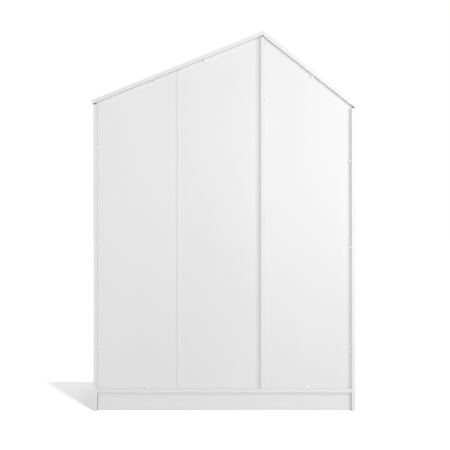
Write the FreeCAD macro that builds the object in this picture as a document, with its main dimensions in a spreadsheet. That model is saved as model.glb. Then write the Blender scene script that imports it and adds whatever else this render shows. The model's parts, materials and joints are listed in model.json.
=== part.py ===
"""House-shaped wardrobe with an off-centre ridge: carcass boards, thin back panels in grooves,
shelves, hanging rail and three sloped inset doors on butt hinges.

Frame: +Z up, doors on the -Y side, thin back panels on the +Y side, the wide bay on the +X side.
The origin is on the floor, at the middle of the width and of the overall depth with knobs.
"""
import FreeCAD
import Part
import Sketcher

import math
import os
import re
import sys

SIZES = {
    # carcass
    "board": 16, "body_width": 1140, "carcass_depth": 500, "ridge_height": 1655,
    "ridge_offset": 170, "divider_offset": 167, "wide_slope": 21.95, "narrow_slope": 38.2,
    "eave_overhang": 12, "wide_top_gap": 4,
    # plinth under the bottom board
    "plinth_height": 80, "plinth_setback_front": 22, "plinth_setback_rear": 13, "plinth_end_gap": 1,
    "rib_shift": 32, "block_size": 24, "block_inset": 90, "block_screw_drop": 8,
    # back panels, their grooves, the joining strip and the round clips
    "back_thickness": 3, "back_recess": 14, "groove_depth": 5, "back_insertion": 4.6,
    "groove_play": 0.3, "seam_offset": 200, "strip_width": 18, "strip_lip": 2.4, "strip_web": 1.6,
    "clip_radius": 5, "clip_depth": 9, "clip_standoff": 5.1, "roof_clip_standoff": 8, "peg_radius": 2.5,
    "peg_depth": 7,
    # shelves and their pins
    "shelf_play": 1, "shelf_front_gap": 6, "shelf_back_gap": 3, "hat_shelf_height": 1180,
    "shelf_first": 340, "shelf_pitch": 245, "pin_radius": 2.5, "pin_in": 8, "pin_out": 10,
    "pin_inset": 50, "pin_step": 32,
    # hanging rail
    "rail_drop": 55, "rail_tall": 30, "rail_thick": 15, "rail_wall": 1.2, "socket_wall": 3,
    "socket_plate": 2.5, "socket_reach": 14, "fit_play": 0.1,
    # knock-down fittings
    "cam_radius": 7.5, "cam_thick": 12, "cam_inset": 34, "bolt_radius": 3, "bolt_anchor": 10,
    "dowel_radius": 4, "dowel_deep": 15, "dowel_shallow": 10, "fitting_inset": 60, "dowel_offset": 32,
    "confirmat_radius": 3, "confirmat_length": 50, "confirmat_head": 5, "confirmat_head_thick": 4,
    # bent steel brackets under the roof
    "leg": 45, "plate": 2, "bracket_width": 30, "bracket_inset": 110,
    "bracket_stagger": 36, "leg_hole": 28,
    "screw_radius": 1.75, "screw_depth": 11, "head_radius": 3.5, "head_thick": 1.8,
    # doors
    "door_gap": 2.5, "pair_gap": 3, "door_top_gap": 4, "eased_run": 30, "eased_drop": 8,
    # butt hinges
    "leaf_height": 60, "leaf_thick": 1.2, "leaf_deep": 14, "knuckles": 3, "knuckle_radius": 3,
    "knuckle_gap": 0.3,
    "hinge_pin_radius": 1.5, "pin_play": 0.05, "axis_forward": 3.2, "leaf_screw_radius": 1.5,
    "leaf_screw_head": 3, "leaf_screw_length": 13, "leaf_screw_offset": 18,
    "hinge_low": 200, "hinge_top_drop": 95,
    # knobs, catches
    "knob_reach": 24, "knob_stem": 11, "knob_flare": 5, "knob_rim": 5, "knob_foot": 8, "knob_neck": 6,
    "knob_radius": 15, "knob_rim_radius": 14, "knob_face_radius": 10.5, "knob_height": 820,
    "knob_inset": 38, "knob_bolt_radius": 2, "knob_bolt_head": 4.5, "knob_bolt_bite": 13,
    "catch_wide": 42, "catch_deep": 14, "catch_tall": 12, "catch_inset": 60, "strike_wide": 34,
    "strike_tall": 10, "strike_thick": 1.2, "strike_air": 0.4, "narrow_catch_height": 700,
}
WIDE_CLIP_HEIGHTS = {"clip_wide_low": 280, "clip_wide_mid": 736, "clip_wide_high": 1146}
NARROW_CLIP_HEIGHTS = {"clip_narrow_low": 257, "clip_narrow_mid": 712, "clip_narrow_high": 1087}
DIVIDER_CLIP_HEIGHTS = {"clip_divider_low": 368, "clip_divider_high": 1364}
BOTTOM_CLIP_PLACES = {"clip_bottom_outer": 333, "clip_bottom_middle": 57, "clip_bottom_narrow": -363}
WIDE_ROOF_CLIP_PLACES = {"clip_roof_outer": 304, "clip_roof_middle": 87}
NARROW_ROOF_CLIP_PLACES = {"clip_roof_narrow": -388}
for clip_places in (WIDE_CLIP_HEIGHTS, NARROW_CLIP_HEIGHTS, DIVIDER_CLIP_HEIGHTS, BOTTOM_CLIP_PLACES,
                    WIDE_ROOF_CLIP_PLACES, NARROW_ROOF_CLIP_PLACES):
    SIZES.update(clip_places)

doc = FreeCAD.newDocument("Wardrobe")
sheet = doc.addObject("Spreadsheet::Sheet", "Dims")
for row, (alias, value) in enumerate(SIZES.items(), start=1):
    sheet.set(f"A{row}", alias.replace("_", " "))
    sheet.set(f"B{row}", str(value))
    sheet.setAlias(f"B{row}", alias)
doc.recompute()

# ---------------------------------------------------------------- shared formulas
FRONT = "((knob_reach - carcass_depth) / 2)"
REAR = "((knob_reach + carcass_depth) / 2)"
SIDE = "(body_width / 2)"
INNER = "(body_width / 2 - board)"
DIVIDER_WIDE = "(board / 2 - divider_offset)"
DIVIDER_NARROW = "(-board / 2 - divider_offset)"
FLOOR_TOP = "(plinth_height + board)"
BACK_FACE = f"({REAR} - back_recess)"
BACK_INSIDE = f"({REAR} - back_recess - back_thickness)"
SHELF_FRONT = f"({FRONT} + board + shelf_front_gap)"
SHELF_DEPTH = f"({BACK_INSIDE} - shelf_back_gap - {SHELF_FRONT})"
HINGE_Y = f"({FRONT} - axis_forward)"
WIDE_BAY = f"({INNER} - {DIVIDER_WIDE})"
NARROW_BAY = f"({DIVIDER_NARROW} + {INNER})"
ALONG_X = FreeCAD.Rotation(FreeCAD.Vector(0, 1, 0), 90)
ALONG_MINUS_X = FreeCAD.Rotation(FreeCAD.Vector(0, 1, 0), -90)
ALONG_Y = FreeCAD.Rotation(FreeCAD.Vector(1, 0, 0), -90)
ALONG_MINUS_Y = FreeCAD.Rotation(FreeCAD.Vector(1, 0, 0), 90)
ALONG_Z = FreeCAD.Rotation()
ALONG_MINUS_Z = FreeCAD.Rotation(FreeCAD.Vector(1, 0, 0), 180)
ROOF = {"wide": ("wide_slope", 1), "narrow": ("narrow_slope", -1)}
UP_INTO_ROOF = {bay: FreeCAD.Rotation(FreeCAD.Vector(0, 1, 0), SIZES[slope] * sign)
                for bay, (slope, sign) in ROOF.items()}
word = re.compile(r"[A-Za-z_][A-Za-z_0-9]*")
parts = {}


def formula(text):
    """Turn a formula in plain sheet names into one that a property can be bound to."""
    return word.sub(lambda m: f"Dims.{m.group()}" if m.group() in SIZES else m.group(), text)


def bind(item, **formulas):
    for name, text in formulas.items():
        item.setExpression(name.replace("__", "."), formula(text))
    return item


def place(item, position, turn=ALONG_Z):
    item.Placement = FreeCAD.Placement(FreeCAD.Vector(), turn)
    x, y, z = position
    return bind(item, Placement__Base__x=x, Placement__Base__y=y, Placement__Base__z=z)


def box(size, position):
    length, width, height = size
    item = doc.addObject("Part::Box", "Box")
    return place(bind(item, Length=length, Width=width, Height=height), position)


def rod(radius, length, position, turn):
    item = doc.addObject("Part::Cylinder", "Rod")
    return place(bind(item, Radius=radius, Height=length), position, turn)


def cone(start_radius, end_radius, length, position, turn):
    item = doc.addObject("Part::Cone", "Cone")
    return place(bind(item, Radius1=start_radius, Radius2=end_radius, Height=length), position, turn)


def fuse(items):
    item = doc.addObject("Part::MultiFuse", "Fuse")
    item.Shapes = items
    return item


def cut(base, tools):
    item = doc.addObject("Part::Cut", "Cut")
    item.Base = base
    item.Tool = tools[0] if len(tools) == 1 else fuse(tools)
    return item


def group(items):
    item = doc.addObject("Part::Compound", "Group")
    item.Links = items
    return item


def keep(name, item):
    item.Label = name
    parts[name] = item
    return item


def drawn(plane, corners, length, offset):
    """A body padded from a closed outline of straight edges; offset is its place across the plane."""
    body = doc.addObject("PartDesign::Body", "Body")
    sketch = body.newObject("Sketcher::SketchObject", "Outline")
    origin_plane = next(item for item in body.Origin.OriginFeatures if item.Role == plane)
    sketch.AttachmentSupport = [(origin_plane, "")]
    sketch.MapMode = "FlatFace"
    count = len(corners)
    start = [FreeCAD.Vector(math.cos(2 * math.pi * i / count), math.sin(2 * math.pi * i / count), 0)
             for i in range(count)]
    for i in range(count):
        sketch.addGeometry(Part.LineSegment(start[i], start[(i + 1) % count]), False)
    for i in range(count):
        sketch.addConstraint(Sketcher.Constraint("Coincident", i, 2, (i + 1) % count, 1))
    for i, (across, up) in enumerate(corners):
        for kind, text, value in (("DistanceX", across, start[i].x), ("DistanceY", up, start[i].y)):
            number = sketch.addConstraint(Sketcher.Constraint(kind, -1, 1, i, 1, value))
            sketch.setExpression(f"Constraints[{number}]", formula(text))
    pad = body.newObject("PartDesign::Pad", "Pad")
    pad.Profile = sketch
    pad.Reversed = plane == "XZ_Plane"
    bind(pad, Length=length)
    body.Tip = pad
    axis = {"XZ_Plane": "y", "YZ_Plane": "x", "XY_Plane": "z"}[plane]
    bind(body, **{f"Placement__Base__{axis}": offset})
    return body


def underside(bay, x):
    """Height of a roof board's lower face above the point x."""
    slope, sign = ROOF[bay]
    run = f"{sign} * ({x} + ridge_offset)"
    return f"(ridge_height - board / cos({slope}) - {run} * tan({slope}))"


# ---------------------------------------------------------------- fasteners that cut their own holes
def screw(head_face, turn, length="screw_depth + plate"):
    """A flat-headed screw: its head stands on head_face and its shank runs along turn."""
    shank = rod("screw_radius", length, head_face, turn)
    back = turn.multVec(FreeCAD.Vector(0, 0, -1))
    start = [f"{text} + {component:.12f} * head_thick" for text, component in zip(head_face, back)]
    head = rod("head_radius", "head_thick", start, turn)
    return shank, fuse([head, shank])


def cam_joint(face_x, side, y, board_bottom):
    """Cam, bolt and dowel between a board's end and the upright beside it, which lies toward side."""
    middle = f"({board_bottom} + board / 2)"
    cam = rod("cam_radius", "cam_thick", (f"{face_x} - {side} * cam_inset", y, board_bottom), ALONG_Z)
    away = ALONG_X if side > 0 else ALONG_MINUS_X
    bolt_start = f"{face_x} - {side} * (cam_inset - cam_radius)"
    bolt = rod("bolt_radius", "cam_inset - cam_radius - fit_play + bolt_anchor",
               (f"{bolt_start} + {side} * fit_play", y, middle), away)
    dowel = rod("dowel_radius", "dowel_deep + dowel_shallow",
                (f"{face_x} - {side} * dowel_deep", f"{y} + dowel_offset", middle), away)
    return cam, bolt, dowel


cams, bolts, dowels = [], [], []
joint_rows = [f"({FRONT} + fitting_inset)", f"({BACK_INSIDE} - fitting_inset - dowel_offset)"]
end_fittings = {"side_panel_wide": [], "side_panel_narrow": [], "divider": [], "bottom_board": [],
                "hat_shelf": []}
for board_name, upright, face_x, side, bottom in (
        ("bottom_board", "side_panel_wide", INNER, 1, "plinth_height"),
        ("bottom_board", "side_panel_narrow", f"-{INNER}", -1, "plinth_height"),
        ("hat_shelf", "side_panel_wide", INNER, 1, "hat_shelf_height"),
        ("hat_shelf", "divider", DIVIDER_WIDE, -1, "hat_shelf_height")):
    for y in joint_rows:
        cam, bolt, dowel = cam_joint(face_x, side, y, bottom)
        cams.append(cam)
        bolts.append(bolt)
        dowels.append(dowel)
        end_fittings[board_name] += [cam, bolt, dowel]
        end_fittings[upright] += [bolt, dowel]
keep("cam_locks", group(cams))
keep("cam_bolts", group(bolts))
keep("dowels", group(dowels))

divider_screws = []
for y in joint_rows:
    foot = ("-divider_offset", y, "plinth_height")
    shank = rod("confirmat_radius", "confirmat_length", foot, ALONG_Z)
    head = rod("confirmat_head", "confirmat_head_thick", foot, ALONG_Z)
    divider_screws.append(fuse([shank, head]))
keep("divider_screws", group(divider_screws))


# ---------------------------------------------------------------- round clips behind the back panels
def clip(face_point, turn, standoff="clip_standoff"):
    """A round plastic clip on the back panel; its peg runs along turn into the board beside it."""
    into = turn.multVec(FreeCAD.Vector(0, 0, 1))
    x, z = face_point
    button_x = f"{x} - {into.x:.12f} * {standoff}"
    button_z = f"{z} - {into.z:.12f} * {standoff}"
    button = rod("clip_radius", "clip_depth", (button_x, BACK_FACE, button_z), ALONG_Y)
    peg = rod("peg_radius", f"{standoff} + peg_depth",
              (button_x, f"{BACK_FACE} + clip_depth / 2", button_z), turn)
    return fuse([button, peg])


clips = {"side_panel_wide": [clip((INNER, z), ALONG_X) for z in WIDE_CLIP_HEIGHTS],
         "side_panel_narrow": [clip((f"-{INNER}", z), ALONG_MINUS_X) for z in NARROW_CLIP_HEIGHTS],
         "divider": [clip((DIVIDER_NARROW, z), ALONG_X) for z in DIVIDER_CLIP_HEIGHTS],
         "bottom_board": [clip((x, FLOOR_TOP), ALONG_MINUS_Z) for x in BOTTOM_CLIP_PLACES],
         "roof_board_wide": [clip((x, underside("wide", x)), UP_INTO_ROOF["wide"], "roof_clip_standoff")
                             for x in WIDE_ROOF_CLIP_PLACES],
         "roof_board_narrow": [clip((x, underside("narrow", x)), UP_INTO_ROOF["narrow"],
                                    "roof_clip_standoff") for x in NARROW_ROOF_CLIP_PLACES]}
keep("back_panel_clips", group([piece for pieces in clips.values() for piece in pieces]))

# ---------------------------------------------------------------- bent brackets under the roof
bracket_insets = {"wide": "bracket_inset", "narrow": "(bracket_inset + bracket_stagger)"}
bracket_cuts = {"side_panel_wide": [], "side_panel_narrow": [], "divider": [],
                "roof_board_wide": [], "roof_board_narrow": []}
bracket_screws = []
for name, bay, wall_x, toward_bay, upright in (
        ("eave_brackets_wide", "wide", INNER, -1, "side_panel_wide"),
        ("ridge_brackets_wide", "wide", DIVIDER_WIDE, 1, "divider"),
        ("eave_brackets_narrow", "narrow", f"-{INNER}", 1, "side_panel_narrow"),
        ("ridge_brackets_narrow", "narrow", DIVIDER_NARROW, -1, "divider")):
    slope, sign = ROOF[bay]
    rise = -sign * toward_bay
    corner = underside(bay, wall_x)
    tip_x = f"({wall_x} + {toward_bay} * leg * cos({slope}))"
    tip_z = f"({corner} + {rise} * leg * sin({slope}))"
    inner_x = f"({wall_x} + {toward_bay} * plate)"
    outline = [(wall_x, f"{corner} - leg"), (wall_x, corner), (tip_x, tip_z),
               (f"{tip_x} - {sign} * plate * sin({slope})", f"{tip_z} - plate * cos({slope})"),
               (inner_x, f"{underside(bay, inner_x)} - plate / cos({slope})"),
               (inner_x, f"{corner} - leg")]
    wall_turn = ALONG_X if toward_bay < 0 else ALONG_MINUS_X
    roof_hole_x = f"({wall_x} + {toward_bay} * leg_hole * cos({slope}) - {sign} * plate * sin({slope}))"
    roof_hole_z = f"({corner} + {rise} * leg_hole * sin({slope}) - plate * cos({slope}))"
    brackets = []
    inset = bracket_insets[bay]
    for y in (f"({FRONT} + {inset})", f"({BACK_INSIDE} - {inset} - bracket_width)"):
        middle = f"({y} + bracket_width / 2)"
        wall_shank, wall_screw = screw((inner_x, middle, f"({corner} - leg_hole)"), wall_turn)
        roof_shank, roof_screw = screw((roof_hole_x, middle, roof_hole_z), UP_INTO_ROOF[bay])
        body = drawn("XZ_Plane", outline, "bracket_width", y)
        brackets.append(cut(body, [wall_shank, roof_shank]))
        bracket_cuts[upright].append(wall_shank)
        bracket_cuts[f"roof_board_{bay}"].append(roof_shank)
        bracket_screws += [wall_screw, roof_screw]
    keep(name, group(brackets))
keep("bracket_screws", group(bracket_screws))

# ---------------------------------------------------------------- shelves, pins and their holes
SHELF_COUNT = 4
shelf_pins = []
pin_holes = {"side_panel_narrow": [], "divider": []}
for number in range(SHELF_COUNT):
    bottom = f"(shelf_first + {number} * shelf_pitch)"
    keep(f"narrow_shelf_{number + 1}",
         box((f"{NARROW_BAY} - 2 * shelf_play", SHELF_DEPTH, "board"),
             (f"-{INNER} + shelf_play", SHELF_FRONT, bottom)))
    for y in (f"({SHELF_FRONT} + pin_inset)", f"({SHELF_FRONT} + {SHELF_DEPTH} - pin_inset)"):
        for upright, wall_x, turn, into in (("side_panel_narrow", f"-{INNER}", ALONG_X, -1),
                                            ("divider", DIVIDER_NARROW, ALONG_MINUS_X, 1)):
            start_x = f"{wall_x} + {into} * pin_in"
            pin_z = f"({bottom} - pin_radius)"
            shelf_pins.append(rod("pin_radius", "pin_in + pin_out", (start_x, y, pin_z), turn))
            for step in (-1, 0, 1):
                pin_holes[upright].append(
                    rod("pin_radius", "pin_in", (start_x, y, f"{pin_z} + {step} * pin_step"), turn))
keep("shelf_pins", group(shelf_pins))
hat_slab = box((WIDE_BAY, SHELF_DEPTH, "board"), (DIVIDER_WIDE, SHELF_FRONT, "hat_shelf_height"))
keep("hat_shelf", cut(hat_slab, end_fittings["hat_shelf"]))

# ---------------------------------------------------------------- hanging rail in its two sockets
RAIL_Z = "(hat_shelf_height - rail_drop)"
RAIL_Y = f"({SHELF_FRONT} + {SHELF_DEPTH} / 2)"


def flat_oval(tall, thick, length, start_x):
    """A rod of flat oval section along +X: a flat middle between two half rounds."""
    straight = f"(({tall}) - ({thick}))"
    middle = box((length, thick, straight),
                 (start_x, f"{RAIL_Y} - ({thick}) / 2", f"{RAIL_Z} - {straight} / 2"))
    ends = [rod(f"({thick}) / 2", length, (start_x, RAIL_Y, f"{RAIL_Z} + {way} * {straight} / 2"), ALONG_X)
            for way in (-1, 1)]
    return fuse([middle] + ends)


rail_length = f"{WIDE_BAY} - 2 * socket_plate - 2 * fit_play"
rail_start = f"{DIVIDER_WIDE} + socket_plate + fit_play"
rail_outside = flat_oval("rail_tall", "rail_thick", rail_length, rail_start)
rail_inside = flat_oval("rail_tall - 2 * rail_wall", "rail_thick - 2 * rail_wall", rail_length, rail_start)
keep("hanging_rail", cut(rail_outside, [rail_inside]))
sockets, socket_screws = [], []
socket_cuts = {"divider": [], "side_panel_wide": []}
for upright, wall_x, side in (("divider", DIVIDER_WIDE, 1), ("side_panel_wide", INNER, -1)):
    cup_start = wall_x if side > 0 else f"{wall_x} - socket_reach"
    hollow_start = f"{wall_x} + socket_plate" if side > 0 else f"{wall_x} - socket_reach"
    cup = flat_oval("rail_tall + 2 * socket_wall", "rail_thick + 2 * socket_wall", "socket_reach",
                    cup_start)
    hollow = flat_oval("rail_tall + 2 * fit_play", "rail_thick + 2 * fit_play",
                       "socket_reach - socket_plate", hollow_start)
    turn = ALONG_MINUS_X if side > 0 else ALONG_X
    shank, fixing = screw((f"{wall_x} + {side} * socket_plate", RAIL_Y, RAIL_Z), turn,
                          "screw_depth + socket_plate")
    sockets.append(cut(cup, [hollow, shank]))
    socket_screws.append(fixing)
    socket_cuts[upright].append(shank)
keep("rail_sockets", group(sockets))
keep("rail_socket_screws", group(socket_screws))


# ---------------------------------------------------------------- doors with their hinges and fittings
def countersunk(x, y, z, turn):
    """A wood screw whose cone head is flush with a hinge leaf."""
    sink = cone("leaf_screw_head", "leaf_screw_radius", "leaf_thick", (x, y, z), turn)
    return fuse([sink, rod("leaf_screw_radius", "leaf_screw_length", (x, y, z), turn)])


def leaf(axis_x, z, side, segments):
    """One hinge leaf; side says which way the plate lies from the pin, segments its knuckles."""
    segment = "(leaf_height / knuckles)"
    knuckle_length = f"({segment} - knuckle_gap)"
    plate_x = f"{axis_x} + door_gap / 2 - leaf_thick" if side > 0 else f"{axis_x} - door_gap / 2"
    plate_y = f"({HINGE_Y} + knuckle_radius + knuckle_gap)"
    base = f"({z} - leaf_height / 2)"
    members = [box(("leaf_thick", f"{FRONT} + leaf_deep - {plate_y}", "leaf_height"),
                   (plate_x, plate_y, base))]
    for number in segments:
        bottom = f"{base} + {number} * {segment} + knuckle_gap / 2"
        members.append(rod("knuckle_radius", knuckle_length, (axis_x, HINGE_Y, bottom), ALONG_Z))
        members.append(box(("leaf_thick", f"{plate_y} + leaf_thick - {HINGE_Y}", knuckle_length),
                           (plate_x, HINGE_Y, bottom)))
    bore = rod("hinge_pin_radius + pin_play", "leaf_height", (axis_x, HINGE_Y, base), ALONG_Z)
    turn = ALONG_X if side > 0 else ALONG_MINUS_X
    face_x = f"{axis_x} + {side} * (door_gap / 2 - leaf_thick)"
    screws = [countersunk(face_x, f"{FRONT} + leaf_deep / 2", f"{z} + {way} * leaf_screw_offset", turn)
              for way in (-1, 1)]
    return cut(fuse(members), [bore] + screws), screws


def door(name, bay, hinge_wall, toward_door, near_x, far_x, hinge_heights, knob_x, strike_x, strike_z):
    """A sloped door panel with its leaves, screws, knob, knob bolt and strike plate."""
    top_gap = f"(door_top_gap / cos({ROOF[bay][0]}))"
    bottom = f"({FLOOR_TOP} + door_gap)"
    near_top = f"({underside(bay, near_x)} - {top_gap})"
    far_top = f"({underside(bay, far_x)} - {top_gap})"
    outline = [(near_x, bottom), (far_x, bottom), (far_x, far_top)]
    if name == "door_inner":
        eased_x = f"({near_x} + eased_run)"
        outline += [(eased_x, f"({underside(bay, eased_x)} - {top_gap})"),
                    (near_x, f"{near_top} - eased_drop")]
    else:
        outline.append((near_x, near_top))
    panel = drawn("XZ_Plane", outline, "board", FRONT)
    axis_x = f"({hinge_wall} + {toward_door} * door_gap / 2)"
    frame_leaves, frame_screws, door_leaves, door_screws, pins = [], [], [], [], []
    for z in hinge_heights:
        fixed, fixed_screws = leaf(axis_x, z, -toward_door, (0, 2))
        moving, moving_screws = leaf(axis_x, z, toward_door, (1,))
        frame_leaves.append(fixed)
        frame_screws += fixed_screws
        door_leaves.append(moving)
        door_screws += moving_screws
        pins.append(rod("hinge_pin_radius", "leaf_height",
                        (axis_x, HINGE_Y, f"{z} - leaf_height / 2"), ALONG_Z))
    door_back = f"({FRONT} + board)"
    bolt_place = (knob_x, door_back, "knob_height")
    bolt_shank = rod("knob_bolt_radius", "board + knob_bolt_bite", bolt_place, ALONG_MINUS_Y)
    bolt_head = rod("knob_bolt_head", "head_thick", bolt_place, ALONG_Y)
    rim_end = "knob_stem + knob_flare + knob_rim"
    knob_sections = [("knob_foot", "knob_neck", "knob_stem", "0"),
                     ("knob_neck", "knob_radius", "knob_flare", "knob_stem"),
                     ("knob_radius", "knob_rim_radius", "knob_rim", "knob_stem + knob_flare"),
                     ("knob_rim_radius", "knob_face_radius", f"knob_reach - ({rim_end})", rim_end)]
    knob = fuse([cone(start, end, length, (knob_x, f"{FRONT} - ({forward})", "knob_height"), ALONG_MINUS_Y)
                 for start, end, length, forward in knob_sections])
    strike = box(("strike_wide", "strike_thick", "strike_tall"),
                 (f"{strike_x} - strike_wide / 2", door_back, f"{strike_z} - strike_tall / 2"))
    keep(name, cut(panel, door_screws + [bolt_shank]))
    keep(f"{name}_leaves", group(door_leaves))
    keep(f"{name}_leaf_screws", group(door_screws))
    keep(f"{name}_knob", cut(knob, [bolt_shank]))
    keep(f"{name}_knob_bolt", fuse([bolt_shank, bolt_head]))
    keep(f"{name}_strike_plate", strike)
    keep(f"{name}_frame_leaves", group(frame_leaves))
    keep(f"{name}_hinge_pins", group(pins))
    return frame_screws


PAIR_X = f"(({INNER} + {DIVIDER_WIDE}) / 2)"
HAT_CATCH_Z = "(hat_shelf_height - catch_tall / 2)"


def heights(bay, wall_x):
    top = f"({underside(bay, wall_x)} - hinge_top_drop)"
    return ["hinge_low", f"((hinge_low + {top}) / 2)", top]


outer_screws = door("door_outer", "wide", INNER, -1, f"({INNER} - door_gap)",
                    f"({PAIR_X} + pair_gap / 2)", heights("wide", INNER), f"({PAIR_X} + knob_inset)",
                    f"({PAIR_X} + catch_inset)", HAT_CATCH_Z)
inner_screws = door("door_inner", "wide", DIVIDER_WIDE, 1, f"({DIVIDER_WIDE} + door_gap)",
                    f"({PAIR_X} - pair_gap / 2)", heights("wide", DIVIDER_WIDE),
                    f"({PAIR_X} - knob_inset)", f"({PAIR_X} - catch_inset)", HAT_CATCH_Z)
narrow_screws = door("door_narrow", "narrow", f"-{INNER}", 1, f"(-{INNER} + door_gap)",
                     f"({DIVIDER_NARROW} - door_gap)", heights("narrow", f"-{INNER}"),
                     f"({DIVIDER_NARROW} - knob_inset)", f"({DIVIDER_NARROW} - door_gap - strike_wide / 2)",
                     "narrow_catch_height")
keep("frame_leaf_screws", group(outer_screws + inner_screws + narrow_screws))

# magnetic catches: two under the hat shelf, one on the divider
catch_y = f"({FRONT} + board + strike_thick + strike_air)"
catches = [box(("catch_wide", "catch_deep + shelf_front_gap", "catch_tall"),
               (f"{PAIR_X} + {side} * catch_inset - catch_wide / 2", catch_y,
                "hat_shelf_height - catch_tall"))
           for side in (-1, 1)]
catches.append(box(("catch_tall", "catch_deep + shelf_front_gap", "catch_wide"),
                   (f"{DIVIDER_NARROW} - catch_tall", catch_y, "narrow_catch_height - catch_wide / 2")))
keep("magnetic_catches", group(catches))

# ---------------------------------------------------------------- carcass boards
GROOVE_Y = f"({BACK_INSIDE} - groove_play)"
GROOVE_WIDE = "(back_thickness + 2 * groove_play)"


def upright(name, low_x, height, base, groove_xs, tools):
    """A square-topped upright board with a groove for the back panel in each face that meets one."""
    grooves = [box(("groove_depth", GROOVE_WIDE, f"{height} - {base}"), (x, GROOVE_Y, base))
               for x in groove_xs]
    slab = box(("board", "carcass_depth", f"{height} - {base}"), (low_x, FRONT, base))
    keep(name, cut(slab, grooves + tools))


upright("side_panel_wide", INNER, f"({underside('wide', SIDE)} - wide_top_gap)", "0", [INNER],
        end_fittings["side_panel_wide"] + clips["side_panel_wide"] + bracket_cuts["side_panel_wide"]
        + socket_cuts["side_panel_wide"] + outer_screws)
upright("side_panel_narrow", f"-{SIDE}", underside("narrow", f"-{SIDE}"), "0",
        [f"-{INNER} - groove_depth"],
        end_fittings["side_panel_narrow"] + clips["side_panel_narrow"] + bracket_cuts["side_panel_narrow"]
        + pin_holes["side_panel_narrow"] + narrow_screws)
upright("divider", DIVIDER_NARROW, underside("narrow", DIVIDER_NARROW), FLOOR_TOP,
        [f"{DIVIDER_WIDE} - groove_depth", DIVIDER_NARROW],
        end_fittings["divider"] + clips["divider"] + bracket_cuts["divider"] + socket_cuts["divider"]
        + pin_holes["divider"] + inner_screws + divider_screws)

block_xs = [f"({INNER} - block_inset)", "(-divider_offset + block_inset)", f"(-{INNER} + block_inset)"]
plinths = {"plinth_front": (f"{FRONT} + plinth_setback_front", 1),
           "plinth_rear": (f"{REAR} - plinth_setback_rear - board", -1)}
blocks, block_screws, floor_cuts = [], [], []
for name, (plinth_y, inward) in plinths.items():
    inner_y = f"({plinth_y} + board)" if inward > 0 else f"({plinth_y})"
    plinth_cuts = []
    for x in block_xs:
        block_y = inner_y if inward > 0 else f"{inner_y} - block_size"
        block = box(("block_size", "block_size", "block_size"),
                    (f"{x} - block_size / 2", block_y, "plinth_height - block_size"))
        toward_plinth = ALONG_MINUS_Y if inward > 0 else ALONG_Y
        level_shank, level_screw = screw((x, f"{inner_y} + {inward} * block_size",
                                          "plinth_height - block_screw_drop"), toward_plinth,
                                         "block_size + screw_depth")
        up_shank, up_screw = screw((f"{x} + block_size / 4", f"{inner_y} + {inward} * block_size / 2",
                                    "plinth_height - block_size"), ALONG_Z, "block_size + screw_depth")
        blocks.append(cut(block, [level_shank, up_shank]))
        block_screws += [level_screw, up_screw]
        plinth_cuts.append(level_shank)
        floor_cuts.append(up_shank)
    slab = box((f"2 * {INNER} - 2 * plinth_end_gap", "board", "plinth_height"),
               (f"-{INNER} + plinth_end_gap", plinth_y, "0"))
    keep(name, cut(slab, plinth_cuts))
keep("plinth_blocks", group(blocks))
keep("plinth_block_screws", group(block_screws))
rib_start = f"({FRONT} + plinth_setback_front + board)"
keep("plinth_rib", box(("board", f"{REAR} - plinth_setback_rear - board - {rib_start}", "plinth_height"),
                       ("-divider_offset - rib_shift", rib_start, "0")))
floor_slab = box((f"2 * {INNER}", "carcass_depth", "board"), (f"-{INNER}", FRONT, "plinth_height"))
floor_groove = box((f"2 * {INNER}", GROOVE_WIDE, "groove_depth"),
                   (f"-{INNER}", GROOVE_Y, f"{FLOOR_TOP} - groove_depth"))
keep("bottom_board", cut(floor_slab, [floor_groove] + end_fittings["bottom_board"] + clips["bottom_board"]
                         + floor_cuts + divider_screws))


def roof_board(bay):
    """A roof board mitred upright at the ridge and cut square at the eave, grooved underneath."""
    slope, sign = ROOF[bay]
    eave_x = f"({sign} * ({SIDE} + eave_overhang))"
    eave_z = f"(ridge_height - ({SIDE} + eave_overhang + {sign} * ridge_offset) * tan({slope}))"
    outline = [("-ridge_offset", "ridge_height"), (eave_x, eave_z),
               (f"{eave_x} - {sign} * board * sin({slope})", f"{eave_z} - board * cos({slope})"),
               ("-ridge_offset", f"ridge_height - board / cos({slope})")]
    slab = drawn("XZ_Plane", outline, "carcass_depth", FRONT)
    far_x = f"({sign} * ({INNER} + groove_depth))"
    groove_outline = [("-ridge_offset", f"{underside(bay, '-ridge_offset')} - groove_play"),
                      (far_x, f"{underside(bay, far_x)} - groove_play"),
                      (far_x, f"{underside(bay, far_x)} + groove_depth"),
                      ("-ridge_offset", f"{underside(bay, '-ridge_offset')} + groove_depth")]
    groove = drawn("XZ_Plane", groove_outline, GROOVE_WIDE, GROOVE_Y)
    name = f"roof_board_{bay}"
    keep(name, cut(slab, [groove] + clips[name] + bracket_cuts[name]))


roof_board("wide")
roof_board("narrow")


# ---------------------------------------------------------------- thin back panels and their strip
def back_panel(name, bay, first_x, last_x):
    low_z = f"({FLOOR_TOP} - back_insertion)"
    outline = [(first_x, low_z), (last_x, low_z), (last_x, f"{underside(bay, last_x)} + back_insertion"),
               (first_x, f"{underside(bay, first_x)} + back_insertion")]
    keep(name, drawn("XZ_Plane", outline, "back_thickness", BACK_INSIDE))


back_panel("back_panel_outer", "wide", "(seam_offset + strip_web / 2 + fit_play)",
           f"({INNER} + back_insertion)")
back_panel("back_panel_middle", "wide", f"({DIVIDER_WIDE} - back_insertion)",
           "(seam_offset - strip_web / 2 - fit_play)")
back_panel("back_panel_narrow", "narrow", f"(-{INNER} - back_insertion)",
           f"({DIVIDER_NARROW} + back_insertion)")

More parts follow.
